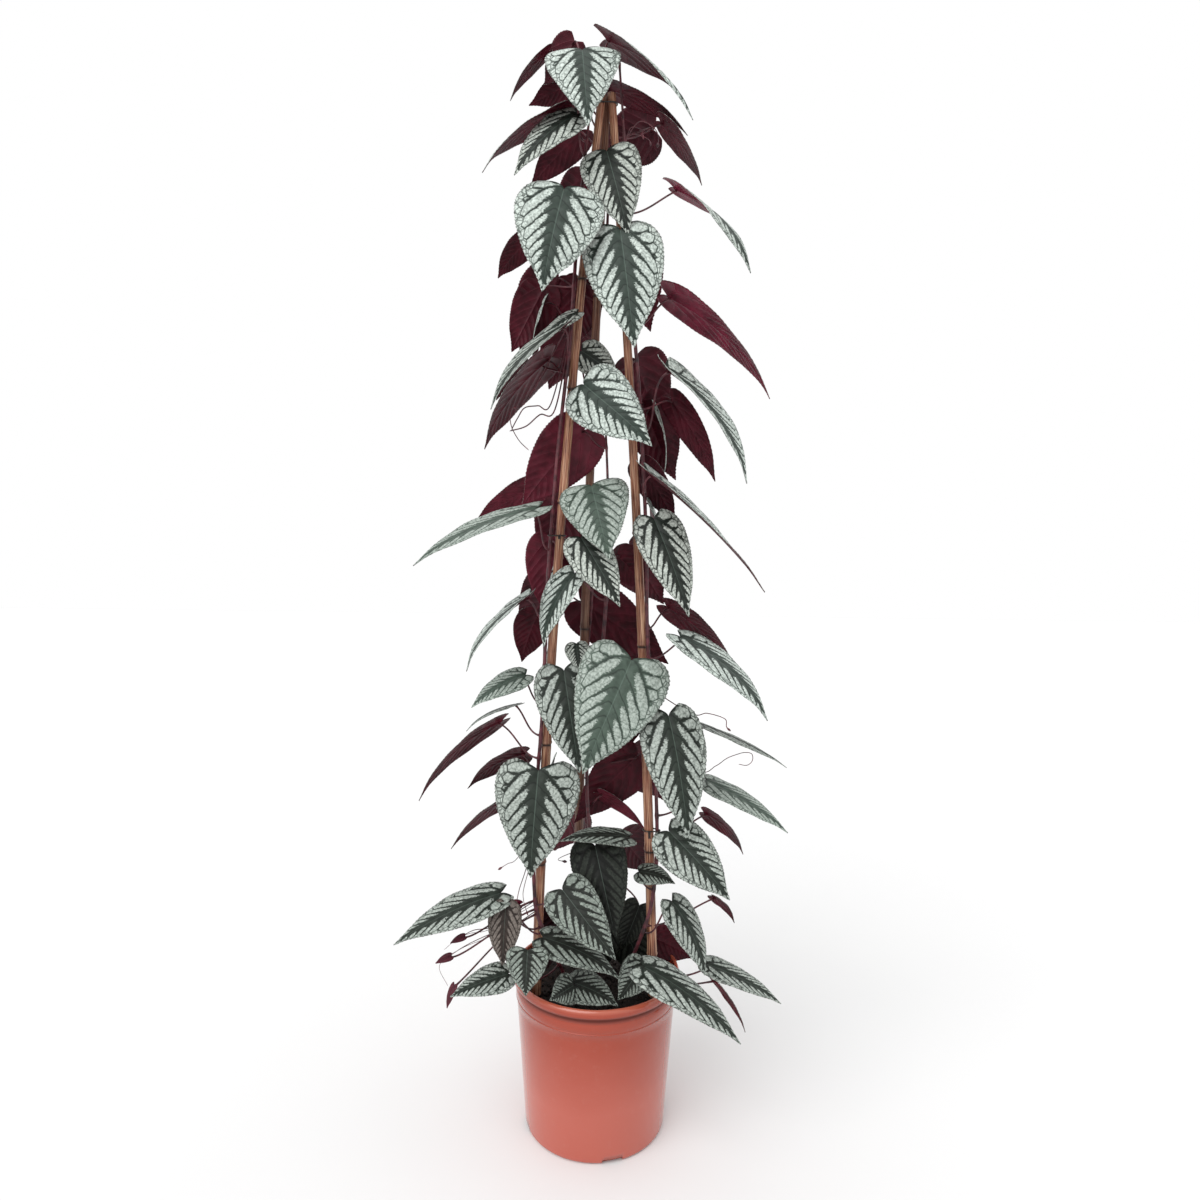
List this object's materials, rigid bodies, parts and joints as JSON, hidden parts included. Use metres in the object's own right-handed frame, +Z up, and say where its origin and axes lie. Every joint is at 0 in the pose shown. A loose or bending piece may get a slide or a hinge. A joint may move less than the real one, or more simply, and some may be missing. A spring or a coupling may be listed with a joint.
{
  "type": "potted rex begonia vine",
  "caption": "Climbing vine with heart-shaped silver-marked leaves, wine-red beneath, trained up bamboo canes tied at the top in a terracotta-coloured plastic pot.",
  "frame": {"origin": "centre of the pot's flat underside", "axes": "+Z up along the canes, -Y towards the side that the picture shows, +X to its right"},
  "size_m": [0.4537, 0.307, 1.322],
  "materials": {
    "pot_plastic": "moulded polypropylene, satin to glossy, terracotta colour",
    "potting_mix": "damp peat and bark, matt and crumbly",
    "bamboo": "dry bamboo cane with raised nodes, satin",
    "vine_stem": "dark wine-red stem, satin",
    "leaf": "quilted leaf, dark green with silver patches above and wine red beneath, satin",
    "tie_wire": "plastic-coated garden wire, matt"
  },
  "bodies": {
    "root": {"pot": "pot_plastic", "potting_mix": "potting_mix", "cane_left": "bamboo", "cane_right": "bamboo", "cane_back": "bamboo", "shoot_left": "vine_stem", "shoot_right": "vine_stem", "shoot_back": "vine_stem", "shoot_middle": "vine_stem", "tie_top": "tie_wire", "tie_left": "tie_wire", "tie_right": "tie_wire", "tie_back": "tie_wire", "leaf_01": "leaf", "leaf_02": "leaf", "leaf_03": "leaf", "leaf_04": "leaf", "leaf_05": "leaf", "leaf_06": "leaf", "leaf_07": "leaf", "leaf_08": "leaf", "leaf_09": "leaf", "leaf_10": "leaf", "leaf_11": "leaf", "leaf_12": "leaf", "leaf_13": "leaf", "leaf_14": "leaf", "leaf_15": "leaf", "leaf_16": "leaf", "leaf_17": "leaf", "leaf_18": "leaf", "leaf_19": "leaf", "leaf_20": "leaf", "leaf_21": "leaf", "leaf_22": "leaf", "leaf_23": "leaf", "leaf_24": "leaf", "leaf_25": "leaf", "leaf_26": "leaf", "leaf_27": "leaf", "leaf_28": "leaf", "leaf_29": "leaf", "leaf_30": "leaf", "leaf_31": "leaf", "leaf_32": "leaf", "leaf_33": "leaf", "leaf_34": "leaf", "leaf_35": "leaf", "leaf_36": "leaf", "leaf_37": "leaf", "leaf_38": "leaf", "leaf_39": "leaf", "leaf_40": "leaf", "leaf_41": "leaf", "leaf_42": "leaf", "leaf_43": "leaf", "leaf_44": "leaf", "leaf_45": "leaf", "leaf_46": "leaf", "leaf_47": "leaf"}
  },
  "joints": []
}
